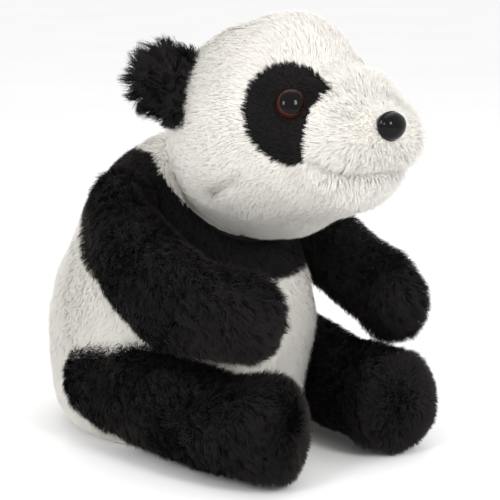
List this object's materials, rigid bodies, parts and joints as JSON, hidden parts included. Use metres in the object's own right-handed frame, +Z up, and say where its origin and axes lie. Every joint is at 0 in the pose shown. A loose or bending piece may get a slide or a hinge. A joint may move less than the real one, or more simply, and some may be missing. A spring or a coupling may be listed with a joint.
{
  "type": "plush panda",
  "caption": "Seated plush panda with sewn black and white fur panels, stuffed limbs, a weighted seat, plastic eyes and a plastic nose.",
  "frame": {"origin": "on the flat underside of the seat, under the middle of the belly", "axes": "+Z up, -Y the way the body faces, +X towards the panda's left"},
  "size_m": [0.1862, 0.2451, 0.2422],
  "materials": {
    "white_fur": "matte",
    "black_fur": "matte",
    "stuffing": "matte",
    "pouch_cloth": "matte",
    "black_plastic": "gloss",
    "brown_plastic": "gloss",
    "clear_washer": "matte"
  },
  "bodies": {
    "torso": {"body_panel": "white_fur", "seat_panel": "white_fur", "yoke_chest_panel": "black_fur", "yoke_back_panel": "black_fur", "nape_panel": "white_fur", "torso_stuffing": "stuffing", "pellet_pouch": "pouch_cloth"},
    "neck": {"neck_stuffing": "stuffing"},
    "head": {"muzzle_panel": "white_fur", "head_gusset": "white_fur", "head_side_right": "white_fur", "head_side_left": "white_fur", "eye_patch_right": "black_fur", "eye_patch_left": "black_fur", "eye_right": "brown_plastic", "eye_left": "brown_plastic", "eye_washer_right": "clear_washer", "eye_washer_left": "clear_washer", "nose": "black_plastic", "nose_washer": "clear_washer", "head_stuffing": "stuffing"},
    "ear_right": {"ear_front_right": "black_fur", "ear_back_right": "black_fur"},
    "ear_left": {"ear_front_left": "black_fur", "ear_back_left": "black_fur"},
    "arm_right": {"arm_right": "black_fur", "arm_stuffing_right": "stuffing"},
    "arm_left": {"arm_left": "black_fur", "arm_stuffing_left": "stuffing"},
    "leg_right": {"leg_right": "black_fur", "sole_right": "black_fur", "leg_stuffing_right": "stuffing"},
    "leg_left": {"leg_left": "black_fur", "sole_left": "black_fur", "leg_stuffing_left": "stuffing"}
  },
  "joints": [
    {"name": "head_turn", "type": "hinge", "parent": "torso", "child": "neck", "pos_m": [0, -0.073, 0.178], "axis": [0, 0, 1], "range_deg": [-25, 25], "stiffness_Nm_per_rad": 0.6},
    {"name": "head_nod", "type": "hinge", "parent": "neck", "child": "head", "pos_m": [0, -0.073, 0.178], "axis": [0.9976, 0.0698, 0], "range_deg": [-8, 8], "stiffness_Nm_per_rad": 1.5},
    {"name": "ear_flex_right", "type": "hinge", "parent": "head", "child": "ear_right", "pos_m": [-0.05154, -0.04798, 0.20221], "axis": [0.5139, 0.2258, 0.8276], "range_deg": [-20, 20], "stiffness_Nm_per_rad": 0.02},
    {"name": "ear_flex_left", "type": "hinge", "parent": "head", "child": "ear_left", "pos_m": [0.04756, -0.04105, 0.20221], "axis": [-0.5404, 0.1521, 0.8276], "range_deg": [-20, 20], "stiffness_Nm_per_rad": 0.02},
    {"name": "arm_open_right", "type": "hinge", "parent": "torso", "child": "arm_right", "pos_m": [-0.06, -0.012, 0.136], "axis": [0, 0, -1], "range_deg": [0, 50], "stiffness_Nm_per_rad": 0.08},
    {"name": "arm_open_left", "type": "hinge", "parent": "torso", "child": "arm_left", "pos_m": [0.06, -0.012, 0.135], "axis": [0, 0, 1], "range_deg": [0, 50], "stiffness_Nm_per_rad": 0.08},
    {"name": "leg_splay_right", "type": "hinge", "parent": "torso", "child": "leg_right", "pos_m": [-0.054, 0.003, 0.036], "axis": [0, 0, -1], "range_deg": [0, 20], "stiffness_Nm_per_rad": 0.2},
    {"name": "leg_splay_left", "type": "hinge", "parent": "torso", "child": "leg_left", "pos_m": [0.054, 0.003, 0.036], "axis": [0, 0, 1], "range_deg": [0, 20], "stiffness_Nm_per_rad": 0.2}
  ]
}
